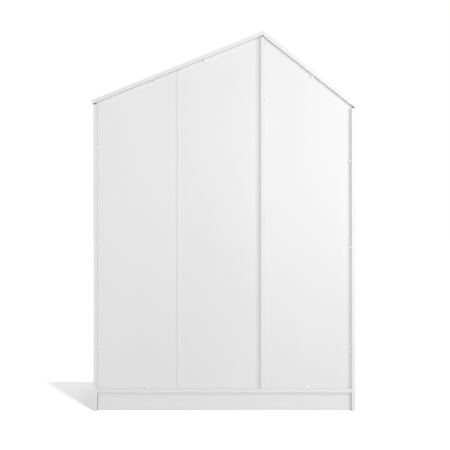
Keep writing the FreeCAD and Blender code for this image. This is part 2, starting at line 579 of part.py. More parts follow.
# the strip is an H in plan: a thin web between two lips that hold both panels
strip_height = f"{underside('wide', 'seam_offset + strip_width / 2')} - {FLOOR_TOP}"
lips = [box(("strip_width", "strip_lip", strip_height), ("seam_offset - strip_width / 2", y, FLOOR_TOP))
        for y in (BACK_FACE, f"{BACK_INSIDE} - strip_lip")]
web = box(("strip_web", "back_thickness + 2 * strip_lip", strip_height),
          ("seam_offset - strip_web / 2", f"{BACK_INSIDE} - strip_lip", FLOOR_TOP))
keep("back_joint_strip", fuse(lips + [web]))

# ---------------------------------------------------------------- checks and files
doc.recompute()
failed = [item.Label for item in doc.Objects if "Invalid" in item.State or "Error" in item.State]
for name, item in parts.items():
    if item.Shape.isNull() or not item.Shape.isValid() or not item.Shape.Solids:
        failed.append(name)
if failed:
    sys.exit(f"failed objects: {failed}")
os.makedirs("parts", exist_ok=True)
for name, item in parts.items():
    item.Shape.exportStep(os.path.join("parts", f"{name}.step"))
whole = Part.makeCompound([item.Shape for item in parts.values()]).BoundBox
print(f"{len(parts)} nodes, {sum(len(item.Shape.Solids) for item in parts.values())} solids")
for axis in "XYZ":
    print(f"{axis} {getattr(whole, axis + 'Min'):.1f} to {getattr(whole, axis + 'Max'):.1f}")
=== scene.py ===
import json
import math

import bpy
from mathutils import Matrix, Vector


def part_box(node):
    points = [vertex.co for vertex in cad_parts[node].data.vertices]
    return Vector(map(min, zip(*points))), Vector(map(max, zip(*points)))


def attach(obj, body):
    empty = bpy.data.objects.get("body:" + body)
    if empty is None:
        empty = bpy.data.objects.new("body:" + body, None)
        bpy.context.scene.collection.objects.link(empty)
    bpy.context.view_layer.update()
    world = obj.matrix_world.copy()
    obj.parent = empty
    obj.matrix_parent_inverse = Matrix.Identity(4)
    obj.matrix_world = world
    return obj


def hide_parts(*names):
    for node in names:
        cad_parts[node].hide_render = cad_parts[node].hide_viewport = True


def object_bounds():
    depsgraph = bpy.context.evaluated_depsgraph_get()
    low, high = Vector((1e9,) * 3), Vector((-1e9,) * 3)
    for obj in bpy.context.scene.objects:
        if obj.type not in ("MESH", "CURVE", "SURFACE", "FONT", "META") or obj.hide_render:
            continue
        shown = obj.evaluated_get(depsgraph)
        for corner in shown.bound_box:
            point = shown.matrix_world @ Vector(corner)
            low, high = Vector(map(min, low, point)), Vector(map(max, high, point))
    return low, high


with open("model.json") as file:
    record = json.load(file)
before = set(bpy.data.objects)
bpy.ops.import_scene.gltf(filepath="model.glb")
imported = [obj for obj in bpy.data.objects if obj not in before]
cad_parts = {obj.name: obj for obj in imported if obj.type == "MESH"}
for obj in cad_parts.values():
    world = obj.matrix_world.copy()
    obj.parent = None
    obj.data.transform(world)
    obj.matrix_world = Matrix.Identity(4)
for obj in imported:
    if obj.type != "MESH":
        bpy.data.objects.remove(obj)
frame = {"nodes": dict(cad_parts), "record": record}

cad_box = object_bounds()

# ---------------------------------------------------------------- faced board
# The carcass is 16 mm chipboard faced with a white melamine foil, pressed with a fine pearl
# grain. The edges carry a glued white band, scraped flush, which leaves a slightly duller arris.
WHITE_FOIL = (0.80, 0.80, 0.805)
HANDLED_GREY = (0.60, 0.59, 0.57)


def new_group(name, inputs, outputs):
    group = bpy.data.node_groups.new(name, "ShaderNodeTree")
    for socket_name, kind, value in inputs:
        socket = group.interface.new_socket(socket_name, in_out="INPUT", socket_type=kind)
        socket.default_value = value
    for socket_name, kind in outputs:
        group.interface.new_socket(socket_name, in_out="OUTPUT", socket_type=kind)
    return group, group.nodes.new("NodeGroupInput"), group.nodes.new("NodeGroupOutput")


def add_node(tree, kind, **values):
    node = tree.nodes.new(kind)
    for key, value in values.items():
        if key in node.inputs:
            node.inputs[key].default_value = value
        else:
            setattr(node, key, value)
    return node


def make_grain_group():
    """Height of a fine moulded or pressed grain, finer and coarser noise together."""
    group, ins, outs = new_group(
        "pressed_grain", [("Scale", "NodeSocketFloat", 600.0), ("Stretch", "NodeSocketVector", (1, 1, 1))],
        [("Height", "NodeSocketFloat")])
    place = add_node(group, "ShaderNodeTexCoord")
    stretch = add_node(group, "ShaderNodeVectorMath", operation="MULTIPLY")
    fine = add_node(group, "ShaderNodeTexNoise", Detail=3.0, Roughness=0.6)
    pits = add_node(group, "ShaderNodeTexVoronoi", feature="SMOOTH_F1")
    both = add_node(group, "ShaderNodeMath", operation="MULTIPLY_ADD")
    both.inputs[1].default_value = 0.6
    group.links.new(place.outputs["Object"], stretch.inputs[0])
    group.links.new(ins.outputs["Stretch"], stretch.inputs[1])
    for texture in (fine, pits):
        group.links.new(stretch.outputs[0], texture.inputs["Vector"])
        group.links.new(ins.outputs["Scale"], texture.inputs["Scale"])
    group.links.new(pits.outputs["Distance"], both.inputs[0])
    group.links.new(fine.outputs["Fac"], both.inputs[2])
    group.links.new(both.outputs[0], outs.inputs["Height"])
    return group


def make_cloud_group():
    """A slow change between 0 and 1 over the piece, for tone and gloss."""
    group, ins, outs = new_group(
        "slow_clouds", [("Scale", "NodeSocketFloat", 3.0), ("Stretch", "NodeSocketVector", (1, 1, 1))],
        [("Value", "NodeSocketFloat")])
    place = add_node(group, "ShaderNodeTexCoord")
    stretch = add_node(group, "ShaderNodeVectorMath", operation="MULTIPLY")
    noise = add_node(group, "ShaderNodeTexNoise", Detail=1.0, Roughness=0.4)
    spread = add_node(group, "ShaderNodeMapRange", interpolation_type="SMOOTHSTEP")
    spread.inputs["From Min"].default_value = 0.15
    spread.inputs["From Max"].default_value = 0.85
    group.links.new(place.outputs["Object"], stretch.inputs[0])
    group.links.new(ins.outputs["Stretch"], stretch.inputs[1])
    group.links.new(stretch.outputs[0], noise.inputs["Vector"])
    group.links.new(ins.outputs["Scale"], noise.inputs["Scale"])
    group.links.new(noise.outputs["Fac"], spread.inputs["Value"])
    group.links.new(spread.outputs["Result"], outs.inputs["Value"])
    return group


def make_wear_group():
    """1 on sharp outer edges, broken up by noise, and 0 on the flats."""
    group, ins, outs = new_group("arris_wear", [("Amount", "NodeSocketFloat", 1.0)],
                                 [("Mask", "NodeSocketFloat")])
    rounded = add_node(group, "ShaderNodeBevel", samples=4, Radius=0.0012)
    flat = add_node(group, "ShaderNodeNewGeometry")
    match = add_node(group, "ShaderNodeVectorMath", operation="DOT_PRODUCT")
    edge = add_node(group, "ShaderNodeMapRange")
    edge.inputs["From Min"].default_value = 0.995
    edge.inputs["From Max"].default_value = 0.86
    place = add_node(group, "ShaderNodeTexCoord")
    noise = add_node(group, "ShaderNodeTexNoise", Scale=60.0, Detail=4.0)
    broken = add_node(group, "ShaderNodeMapRange")
    broken.inputs["From Min"].default_value = 0.38
    broken.inputs["From Max"].default_value = 0.66
    product = add_node(group, "ShaderNodeMath", operation="MULTIPLY")
    scaled = add_node(group, "ShaderNodeMath", operation="MULTIPLY")
    group.links.new(rounded.outputs["Normal"], match.inputs[0])
    group.links.new(flat.outputs["Normal"], match.inputs[1])
    group.links.new(match.outputs["Value"], edge.inputs["Value"])
    group.links.new(place.outputs["Object"], noise.inputs["Vector"])
    group.links.new(noise.outputs["Fac"], broken.inputs["Value"])
    group.links.new(edge.outputs["Result"], product.inputs[0])
    group.links.new(broken.outputs["Result"], product.inputs[1])
    group.links.new(product.outputs[0], scaled.inputs[0])
    group.links.new(ins.outputs["Amount"], scaled.inputs[1])
    group.links.new(scaled.outputs[0], outs.inputs["Mask"])
    return group


def make_band_group():
    """1 on the banded front and rear edges of a carcass board, 0 on its faces."""
    group, _, outs = new_group("banded_edge", [], [("Mask", "NodeSocketFloat")])
    surface = add_node(group, "ShaderNodeNewGeometry")
    split = add_node(group, "ShaderNodeSeparateXYZ")
    size = add_node(group, "ShaderNodeMath", operation="ABSOLUTE")
    mask = add_node(group, "ShaderNodeMath", operation="GREATER_THAN")
    mask.inputs[1].default_value = 0.7
    group.links.new(surface.outputs["Normal"], split.inputs[0])
    group.links.new(split.outputs["Y"], size.inputs[0])
    group.links.new(size.outputs[0], mask.inputs[0])
    group.links.new(mask.outputs[0], outs.inputs["Mask"])
    return group


pressed_grain = make_grain_group()
slow_clouds = make_cloud_group()
arris_wear = make_wear_group()
banded_edge = make_band_group()


def use_group(tree, group, **values):
    node = tree.nodes.new("ShaderNodeGroup")
    node.node_tree = group
    for key, value in values.items():
        node.inputs[key].default_value = value
    return node


def finish_material(name, light, dark, worn, gloss, grain_scale, grain_depth, cloud_scale=2.5,
                    stretch=(1, 1, 1), wear=0.6, metallic=0.0, coat=0.0):
    """A finish that drifts between two tones and two roughnesses, with grain and worn arrises."""
    material = bpy.data.materials.new(name)
    material.use_nodes = True
    tree = material.node_tree
    shader = tree.nodes["Principled BSDF"]
    shader.inputs["Metallic"].default_value = metallic
    shader.inputs["Coat Weight"].default_value = coat
    clouds = use_group(tree, slow_clouds, Scale=cloud_scale, Stretch=stretch)
    grain = use_group(tree, pressed_grain, Scale=grain_scale, Stretch=stretch)
    edges = use_group(tree, arris_wear, Amount=wear)
    tone = add_node(tree, "ShaderNodeMix", data_type="RGBA")
    tone.inputs[6].default_value = (*light, 1)
    tone.inputs[7].default_value = (*dark, 1)
    edge_tone = add_node(tree, "ShaderNodeMix", data_type="RGBA")
    edge_tone.inputs[7].default_value = (*worn, 1)
    sheen_range = add_node(tree, "ShaderNodeMapRange")
    sheen_range.inputs["To Min"].default_value = gloss[0]
    sheen_range.inputs["To Max"].default_value = gloss[1]
    bump = add_node(tree, "ShaderNodeBump", Strength=1.0, Distance=grain_depth)
    tree.links.new(clouds.outputs["Value"], tone.inputs[0])
    tree.links.new(tone.outputs[2], edge_tone.inputs[6])
    tree.links.new(edges.outputs["Mask"], edge_tone.inputs[0])
    tree.links.new(edge_tone.outputs[2], shader.inputs["Base Color"])
    tree.links.new(clouds.outputs["Value"], sheen_range.inputs["Value"])
    tree.links.new(sheen_range.outputs["Result"], shader.inputs["Roughness"])
    tree.links.new(grain.outputs["Height"], bump.inputs["Height"])
    tree.links.new(bump.outputs["Normal"], shader.inputs["Normal"])
    return material


def darker(colour, factor):
    return tuple(part * factor for part in colour)


def band_edges(material, colour, roughness):
    """Give a board's front and rear edges the tone and the duller face of their glued band."""
    tree = material.node_tree
    shader = tree.nodes["Principled BSDF"]
    band = use_group(tree, banded_edge)
    tone = add_node(tree, "ShaderNodeMix", data_type="RGBA")
    tone.inputs[7].default_value = (*colour, 1)
    dullness = add_node(tree, "ShaderNodeMix", data_type="FLOAT")
    dullness.inputs[3].default_value = roughness
    for mix, colour_in, colour_out, target in ((tone, 6, 2, "Base Color"), (dullness, 2, 0, "Roughness")):
        tree.links.new(shader.inputs[target].links[0].from_socket, mix.inputs[colour_in])
        tree.links.new(band.outputs["Mask"], mix.inputs[0])
        tree.links.new(mix.outputs[colour_out], shader.inputs[target])


foil = finish_material("white_melamine_foil", WHITE_FOIL, darker(WHITE_FOIL, 0.975), HANDLED_GREY,
                       gloss=(0.28, 0.34), grain_scale=700, grain_depth=0.00004, wear=0.12)
band_edges(foil, darker(WHITE_FOIL, 0.95), 0.6)

BODY = "carcass"
BOARD = 0.016
ARRIS = 0.0006
WIDE_SLOPE = math.radians(21.95)
NARROW_SLOPE = math.radians(38.2)
WIDE_UP = Vector((math.sin(WIDE_SLOPE), 0, math.cos(WIDE_SLOPE)))
NARROW_UP = Vector((-math.sin(NARROW_SLOPE), 0, math.cos(NARROW_SLOPE)))


def deselect():
    bpy.ops.object.select_all(action="DESELECT")


def pick(*pieces):
    deselect()
    for piece in pieces:
        piece.select_set(True)
    bpy.context.view_layer.objects.active = pieces[0]


def settle(piece):
    """Put the piece's place into its mesh."""
    pick(piece)
    bpy.ops.object.transform_apply(location=True, rotation=True, scale=True)
    return piece


def block(name, low, high):
    deselect()
    low, high = Vector(low), Vector(high)
    bpy.ops.mesh.primitive_cube_add(size=1, location=(low + high) / 2)
    piece = bpy.context.active_object
    piece.name = name
    piece.scale = high - low
    return settle(piece)


def saw(piece, point, outward):
    """Cut the piece at a plane and throw away what lies on its outward side."""
    pick(piece)
    bpy.ops.object.mode_set(mode="EDIT")
    bpy.ops.mesh.select_all(action="SELECT")
    bpy.ops.mesh.bisect(plane_co=point, plane_no=outward, use_fill=True, clear_outer=True)
    bpy.ops.object.mode_set(mode="OBJECT")


def carve(piece, cutters):
    """Cut grooves and holes with other pieces, which are used up."""
    pick(*cutters)
    if len(cutters) > 1:
        bpy.ops.object.join()
    cutter = bpy.context.active_object
    pick(piece)
    cutting = piece.modifiers.new("cut", "BOOLEAN")
    cutting.object = cutter
    cutting.operation = "DIFFERENCE"
    cutting.solver = "EXACT"
    cutting.use_self = True
    bpy.ops.object.modifier_apply(modifier=cutting.name)
    bpy.data.objects.remove(cutter)


def ease(piece, width=ARRIS, segments=2, angle=30):
    """Round every sharp edge a little and shade the rounding smooth."""
    pick(piece)
    rounding = piece.modifiers.new("ease", "BEVEL")
    rounding.width = width
    rounding.segments = segments
    rounding.limit_method = "ANGLE"
    rounding.angle_limit = math.radians(angle)
    rounding.harden_normals = True
    bpy.ops.object.shade_smooth_by_angle(angle=math.radians(40))
    bpy.ops.object.modifier_apply(modifier=rounding.name)


def fit(piece, node, body, material):
    """The finished piece stands for its node, rides on its body and takes its finish."""
    piece.data.materials.clear()
    piece.data.materials.append(material)
    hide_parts(node)
    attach(piece, body)
    return piece


# ---------------------------------------------------------------- uprights
# Two side panels and the divider are plain slabs, sawn square at the top. A groove for the back
# panel runs down each inner face, and the narrow bay has rows of holes for the shelf pins.
BACK_LOW, BACK_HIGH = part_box("back_panel_narrow")
GROOVE_PLAY = 0.0003
GROOVE_DEPTH = 0.005
PIN_RADIUS = 0.0025
PIN_BORE_DEPTH = 0.008
PIN_STEP = 0.032


def loose_pieces(node):
    """The vertices of each separate solid of a CAD node."""
    deselect()
    source = frame["nodes"][node]
    twin = bpy.data.objects.new("measuring_copy", source.data.copy())
    bpy.context.scene.collection.objects.link(twin)
    pick(twin)
    bpy.ops.object.mode_set(mode="EDIT")
    bpy.ops.mesh.select_all(action="SELECT")
    bpy.ops.mesh.remove_doubles(threshold=0.00001)
    bpy.ops.mesh.separate(type="LOOSE")
    bpy.ops.object.mode_set(mode="OBJECT")
    solids = []
    for part in list(bpy.context.selected_objects):
        solids.append([vertex.co.copy() for vertex in part.data.vertices])
        bpy.data.objects.remove(part)
    return solids


def middle(points):
    low = Vector(min(point[axis] for point in points) for axis in range(3))
    high = Vector(max(point[axis] for point in points) for axis in range(3))
    return (low + high) / 2, high - low


def drill(centre, radius, depth, axis):
    """A round cutter whose middle is at centre; axis is X, Y or Z."""
    deselect()
    turn = {"X": (0, math.pi / 2, 0), "Y": (math.pi / 2, 0, 0), "Z": (0, 0, 0)}[axis]
    bpy.ops.mesh.primitive_cylinder_add(vertices=24, radius=radius, depth=depth, location=centre,
                                        rotation=turn)
    return settle(bpy.context.active_object)


def groove_cutter(low_x, high_x, low_z, high_z):
    return block("groove_cutter", (low_x, BACK_LOW.y - GROOVE_PLAY, low_z), (high_x, BACK_HIGH.y, high_z))


def pin_bores(wall_x, into):
    """Bores for one wall: each pin's own and the spare ones above and below it."""
    cutters = []
    for points in loose_pieces("shelf_pins"):
        centre, size = middle(points)
        if abs(centre.x - wall_x) < size.x:
            for step in (-1, 0, 1):
                mouth = Vector((wall_x + into * PIN_BORE_DEPTH / 2, centre.y, centre.z + step * PIN_STEP))
                cutters.append(drill(mouth, PIN_RADIUS, PIN_BORE_DEPTH, "X"))
    return cutters


wide_low, wide_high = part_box("side_panel_wide")
narrow_low, narrow_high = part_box("side_panel_narrow")
divider_low, divider_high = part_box("divider")
floor_low, floor_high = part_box("bottom_board")

side_wide = block("side_panel_wide_faced", wide_low, wide_high)
carve(side_wide, [groove_cutter(wide_low.x - BOARD, wide_low.x + GROOVE_DEPTH, floor_high.z,
                                wide_high.z + BOARD)])
side_narrow = block("side_panel_narrow_faced", narrow_low, narrow_high)
carve(side_narrow, [groove_cutter(narrow_high.x - GROOVE_DEPTH, narrow_high.x + BOARD, floor_high.z,
                                  narrow_high.z + BOARD)] + pin_bores(narrow_high.x, -1))
divider = block("divider_faced", divider_low, divider_high)
carve(divider, [groove_cutter(divider_low.x - BOARD, divider_low.x + GROOVE_DEPTH, 0,
                              divider_high.z + BOARD),
                groove_cutter(divider_high.x - GROOVE_DEPTH, divider_high.x + BOARD, 0,
                              divider_high.z + BOARD)] + pin_bores(divider_low.x, 1))
for piece, node in ((side_wide, "side_panel_wide"), (side_narrow, "side_panel_narrow"),
                    (divider, "divider")):
    ease(piece)
    fit(piece, node, BODY, foil)

# ---------------------------------------------------------------- roof boards
# Two boards lean on the uprights and meet in an upright mitre at the ridge. Their eave ends are
# cut square and stand a little beyond the sides. A stopped groove underneath takes the back panels.
ridge = Vector((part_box("roof_board_wide")[0].x, 0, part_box("roof_board_wide")[1].z))


def roof_board(node, up, side):
    low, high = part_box(node)
    along = Vector((up.z * side, 0, -up.x * side))
    eave_x = high.x if side > 0 else low.x
    eave = Vector((eave_x, 0, ridge.z + along.z / along.x * (eave_x - ridge.x)))
    piece = block(f"{node}_faced", low, high)
    saw(piece, ridge, up)
    saw(piece, ridge - up * BOARD, -up)
    saw(piece, eave, along)
    groove = groove_cutter(low.x + BOARD / 8 if side > 0 else low.x + BOARD * 1.5,
                           high.x - BOARD * 1.5 if side > 0 else high.x - BOARD / 8,
                           low.z - BOARD, high.z)
    saw(groove, ridge - up * (BOARD - GROOVE_DEPTH), up)
    carve(piece, [groove])
    ease(piece)
    return fit(piece, node, BODY, foil)


roof_wide = roof_board("roof_board_wide", WIDE_UP, 1)
roof_narrow = roof_board("roof_board_narrow", NARROW_UP, -1)

# ---------------------------------------------------------------- bottom board, plinths and shelves
# The bottom board runs the full width between the sides, over two plinth boards and a rib. The
# hat shelf and the four loose shelves are cut from the same faced board.
bottom = block("bottom_board_faced", floor_low, floor_high)
carve(bottom, [groove_cutter(floor_low.x - BOARD, floor_high.x + BOARD, floor_high.z - GROOVE_DEPTH,
                             floor_high.z + BOARD)])
ease(bottom)
fit(bottom, "bottom_board", BODY, foil)
for node in ("plinth_front", "plinth_rear", "plinth_rib", "hat_shelf",
             "narrow_shelf_1", "narrow_shelf_2", "narrow_shelf_3", "narrow_shelf_4"):
    piece = block(f"{node}_faced", *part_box(node))
    ease(piece)
    fit(piece, node, BODY, foil)

# ---------------------------------------------------------------- back panels
# Three sheets of 3 mm hardboard, roller-coated white on the outside. They sit in the grooves and
# belly out by a millimetre or so between them, which catches the light unevenly.
WHITE_COAT = (0.77, 0.77, 0.775)
BELLY = 0.0012
hardboard = finish_material("white_coated_hardboard", WHITE_COAT, darker(WHITE_COAT, 0.97),
                            darker(HANDLED_GREY, 0.9), gloss=(0.5, 0.62), grain_scale=420,
                            grain_depth=0.00003, cloud_scale=2.0, stretch=(1.6, 1.6, 0.5), wear=0.2)


def back_panel(node, up, peak):
    low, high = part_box(node)
    piece = block(f"{node}_sheet", low, high)
    saw(piece, Vector((low.x if peak < 0 else high.x, 0, high.z)), up)
    pick(piece)
    bpy.ops.object.mode_set(mode="EDIT")
    bpy.ops.mesh.select_all(action="SELECT")
    bpy.ops.mesh.subdivide(number_cuts=15)
    bpy.ops.object.mode_set(mode="OBJECT")
    for vertex in piece.data.vertices:
        across = (vertex.co.x - low.x) / (high.x - low.x)
        upward = (vertex.co.z - low.z) / (high.z - low.z)
        swell = math.sin(math.pi * across) * math.sin(math.pi * upward)
        vertex.co.y += BELLY * max(0.0, swell) ** 0.7
    bpy.ops.object.shade_smooth_by_angle(angle=math.radians(30))
    return fit(piece, node, BODY, hardboard)


back_panel("back_panel_outer", WIDE_UP, -1)
back_panel("back_panel_middle", WIDE_UP, -1)
back_panel("back_panel_narrow", NARROW_UP, 1)

# ---------------------------------------------------------------- joint strip
# An extruded white plastic strip, H-shaped in plan, grips the edges of both wide-bay sheets. Its
# outer lip is crowned, so one flank is always a little darker than the other.
STRIP_LIP = 0.0024
STRIP_WEB = 0.0016
STRIP_CROWN = 0.0018
CROWN_FACETS = 9
WHITE_PLASTIC = (0.79, 0.79, 0.785)
STRIP_PLASTIC = darker(WHITE_PLASTIC, 0.95)
plastic = finish_material("white_moulded_plastic", WHITE_PLASTIC, darker(WHITE_PLASTIC, 0.97),
                          darker(WHITE_PLASTIC, 0.8), gloss=(0.34, 0.44), grain_scale=1500,
                          grain_depth=0.00002, wear=0.3)
extruded_plastic = finish_material("white_extruded_plastic", STRIP_PLASTIC, darker(STRIP_PLASTIC, 0.98),
                                   darker(STRIP_PLASTIC, 0.85), gloss=(0.42, 0.5), grain_scale=900,
                                   grain_depth=0.00002, stretch=(1, 1, 0.05), wear=0.3)
strip_low, strip_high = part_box("back_joint_strip")
strip_middle = (strip_low.x + strip_high.x) / 2
half_width = (strip_high.x - strip_low.x) / 2
strip = block("joint_strip_extrusion", strip_low, strip_high)
channels = [block("sheet_channel", (low_x, strip_low.y + STRIP_LIP, strip_low.z - BOARD),
                  (high_x, strip_high.y - STRIP_LIP, strip_high.z + BOARD))
            for low_x, high_x in ((strip_low.x - BOARD, strip_middle - STRIP_WEB / 2),
                                  (strip_middle + STRIP_WEB / 2, strip_high.x + BOARD))]
carve(strip, channels)
crown_radius = (half_width ** 2 + STRIP_CROWN ** 2) / (2 * STRIP_CROWN)
crown_angle = math.asin(half_width / crown_radius)
crown_centre = Vector((strip_middle, strip_high.y - crown_radius, 0))
for facet in range(CROWN_FACETS):
    lean = crown_angle * (2 * (facet + 0.5) / CROWN_FACETS - 1)
    outward = Vector((math.sin(lean), math.cos(lean), 0))
    if abs(lean) > crown_angle / CROWN_FACETS:
        saw(strip, crown_centre + outward * crown_radius, outward)
pick(strip)
bpy.ops.object.shade_smooth_by_angle(angle=math.radians(20))
fit(strip, "back_joint_strip", BODY, extruded_plastic)

# ---------------------------------------------------------------- back panel clips
# Round clips of bright white plastic press the sheets against the grooves. Each has a plain domed
# button, and a peg that is pushed into a bore in the board beside it.
CLIP_RADIUS = 0.005
CLIP_DEPTH = 0.009
PEG_RADIUS = 0.0025
CLIP_WHITE = (0.92, 0.92, 0.915)
clip_plastic = finish_material("bright_white_clip_plastic", CLIP_WHITE, darker(CLIP_WHITE, 0.98),
                               darker(CLIP_WHITE, 0.9), gloss=(0.3, 0.4), grain_scale=1500,
                               grain_depth=0.00001, wear=0.2)


def model_clip():
    deselect()
    bpy.ops.mesh.primitive_cylinder_add(vertices=32, radius=CLIP_RADIUS, depth=CLIP_DEPTH,
                                        rotation=(-math.pi / 2, 0, 0), location=(0, CLIP_DEPTH / 2, 0))
    button = settle(bpy.context.active_object)
    bpy.ops.object.mode_set(mode="EDIT")
    bpy.ops.mesh.select_all(action="DESELECT")
    bpy.ops.object.mode_set(mode="OBJECT")
    for face in button.data.polygons:
        face.select = face.normal.y > 0.9
    bpy.ops.object.mode_set(mode="EDIT")
    bpy.ops.mesh.select_mode(type="FACE")
    bpy.ops.mesh.bevel(offset=CLIP_RADIUS * 0.34, segments=5, affect="EDGES")
    bpy.ops.mesh.select_mode(type="VERT")
    bpy.ops.object.mode_set(mode="OBJECT")
    return button


clip_model = model_clip()
clip_copies = []
for points in loose_pieces("back_panel_clips"):
    back_y = min(point.y for point in points)
    front_y = max(point.y for point in points)
    rim = [point for point in points if min(point.y - back_y, front_y - point.y) < 1e-5]
    peg_end = [point for point in points if min(point.y - back_y, front_y - point.y) >= 1e-5]
    centre = middle(rim)[0]
    reach = middle(peg_end)[0] - centre
    reach.y = 0
    tip = max((point - centre).dot(reach.normalized()) for point in peg_end)
    copy = clip_model.copy()
    copy.data = clip_model.data.copy()
    bpy.context.scene.collection.objects.link(copy)
    copy.rotation_euler = (0, math.atan2(reach.x, reach.z) + math.pi / 4, 0)
    copy.location = (centre.x, back_y, centre.z)
    settle(copy)
    deselect()
    bpy.ops.mesh.primitive_cylinder_add(vertices=20, radius=PEG_RADIUS, depth=tip,
                                        rotation=(0, math.atan2(reach.x, reach.z), 0),
                                        location=centre + reach.normalized() * tip / 2)
    peg = settle(bpy.context.active_object)
    clip_copies += [copy, peg]
bpy.data.objects.remove(clip_model)
pick(*clip_copies)
bpy.ops.object.join()
clips = bpy.context.active_object
clips.name = "back_panel_clip_buttons"
bpy.ops.object.shade_smooth_by_angle(angle=math.radians(35))
fit(clips, "back_panel_clips", BODY, clip_plastic)

# ---------------------------------------------------------------- doors
# Three flush doors of the same faced board, each sawn to the slope of the roof above it. The
# inner door's top corner is eased beside the divider, where it swings out under the falling roof.
EASED_RUN = 0.030
EASED_DROP = 0.008
door_foil = finish_material("white_door_foil", darker(WHITE_FOIL, 1.01), darker(WHITE_FOIL, 0.985),
                            HANDLED_GREY, gloss=(0.3, 0.4), grain_scale=700, grain_depth=0.00004, wear=0.12)
for node, up, peak in (("door_outer", WIDE_UP, -1), ("door_inner", WIDE_UP, -1),
                       ("door_narrow", NARROW_UP, 1)):
    low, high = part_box(node)
    piece = block(f"{node}_faced", low, high)
    corner = Vector((low.x if peak < 0 else high.x, 0, high.z))
    if node == "door_inner":
        crest = corner + Vector((0, 0, EASED_DROP))
        saw(piece, crest, up)
        inner_end = crest + Vector((EASED_RUN, 0, -EASED_RUN * up.x / up.z))
        ramp = inner_end - corner
        saw(piece, corner, Vector((-ramp.z, 0, ramp.x)))
    else:
        saw(piece, corner, up)
    ease(piece)
    fit(piece, node, node, door_foil)

# ---------------------------------------------------------------- knobs
# Turned wooden knobs under white lacquer: a foot against the door, a waisted neck and a cushion
# head, spun from one profile on the lathe and held by a machine screw from inside.
lacquer = finish_material("white_knob_lacquer", (0.82, 0.82, 0.81), (0.79, 0.79, 0.78), HANDLED_GREY,
                          gloss=(0.2, 0.27), grain_scale=500, grain_depth=0.00002, wear=0.3, coat=0.3)
KNOB_PROFILE = ((0.0, 0.0080), (0.05, 0.0084), (0.10, 0.0082), (0.18, 0.0066), (0.32, 0.0058),
                (0.44, 0.0062), (0.54, 0.0086), (0.62, 0.0120), (0.70, 0.0142), (0.78, 0.0149),
                (0.86, 0.0143), (0.93, 0.0122), (0.98, 0.0080), (1.0, 0.0))


def turn_knob(name, node):
    """Spin the profile about the knob's own axis, which points out of the door."""
    low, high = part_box(node)
    axis_x, axis_z = (low.x + high.x) / 2, (low.z + high.z) / 2
    reach = high.y - low.y
    deselect()
    mesh = bpy.data.meshes.new(name)
    profile = [(axis_x + radius, high.y - reach * along, axis_z) for along, radius in KNOB_PROFILE]
    mesh.from_pydata(profile, [(index, index + 1) for index in range(len(profile) - 1)], [])
    piece = bpy.data.objects.new(name, mesh)
    bpy.context.scene.collection.objects.link(piece)
    pick(piece)
    bpy.ops.object.mode_set(mode="EDIT")
    bpy.ops.mesh.select_all(action="SELECT")
    bpy.ops.mesh.spin(steps=40, angle=2 * math.pi, center=(axis_x, 0, axis_z), axis=(0, 1, 0))
    bpy.ops.mesh.select_all(action="SELECT")
    bpy.ops.mesh.remove_doubles(threshold=0.00002)
    bpy.ops.mesh.select_all(action="DESELECT")
    bpy.ops.mesh.select_non_manifold()
    bpy.ops.mesh.edge_face_add()
    bpy.ops.mesh.select_all(action="SELECT")
    bpy.ops.mesh.normals_make_consistent(inside=False)
    bpy.ops.object.mode_set(mode="OBJECT")
    smoothing = piece.modifiers.new("smooth", "SUBSURF")
    smoothing.levels = smoothing.render_levels = 1
    bpy.ops.object.modifier_apply(modifier=smoothing.name)
    bpy.ops.object.shade_smooth_by_angle(angle=math.radians(50))
    return piece


for door_name in ("door_outer", "door_inner", "door_narrow"):
    knob = turn_knob(f"{door_name}_turned_knob", f"{door_name}_knob")
    fit(knob, f"{door_name}_knob", door_name, lacquer)

# ---------------------------------------------------------------- steel, zinc, chrome and beech fittings
# Hinges, screws, bolts, pins and brackets are bright zinc-plated steel; the cams are cast zinc, the
# rail a chromed flat-oval tube and the dowels fluted beech. Their shapes are the frame's own.
zinc_plate = finish_material("bright_zinc_plate", (0.62, 0.63, 0.65), (0.5, 0.51, 0.53), (0.72, 0.72, 0.72),
                             gloss=(0.28, 0.42), grain_scale=900, grain_depth=0.00002, cloud_scale=90,
                             wear=0.5, metallic=1.0)
cast_zinc = finish_material("die_cast_zinc", (0.45, 0.45, 0.46), (0.36, 0.36, 0.37), (0.6, 0.6, 0.6),
                            gloss=(0.4, 0.55), grain_scale=1200, grain_depth=0.00005, cloud_scale=60,
                            wear=0.6, metallic=1.0)
chrome = finish_material("chromed_tube", (0.78, 0.78, 0.79), (0.7, 0.7, 0.71), (0.8, 0.8, 0.8),
                         gloss=(0.06, 0.16), grain_scale=300, grain_depth=0.000005, cloud_scale=12,
                         stretch=(0.3, 2, 2), wear=0.1, metallic=1.0)
beech = finish_material("plain_beech", (0.62, 0.42, 0.25), (0.48, 0.3, 0.16), (0.7, 0.55, 0.38),
                        gloss=(0.55, 0.7), grain_scale=300, grain_depth=0.00008, cloud_scale=60,
                        stretch=(0.15, 1.5, 1.5), wear=0.4)
SLOT_FINISH = {"zinc_steel": zinc_plate, "cast_zinc": cast_zinc, "chrome_tube": chrome, "beech": beech,
               "white_plastic": plastic}
slot_of = {entry["node"]: entry["material_slot"] for entry in frame["record"]["subparts"]}
for node, piece in frame["nodes"].items():
    if slot_of[node] in SLOT_FINISH and not piece.hide_render:
        for material_slot in piece.material_slots:
            material_slot.material = SLOT_FINISH[slot_of[node]]

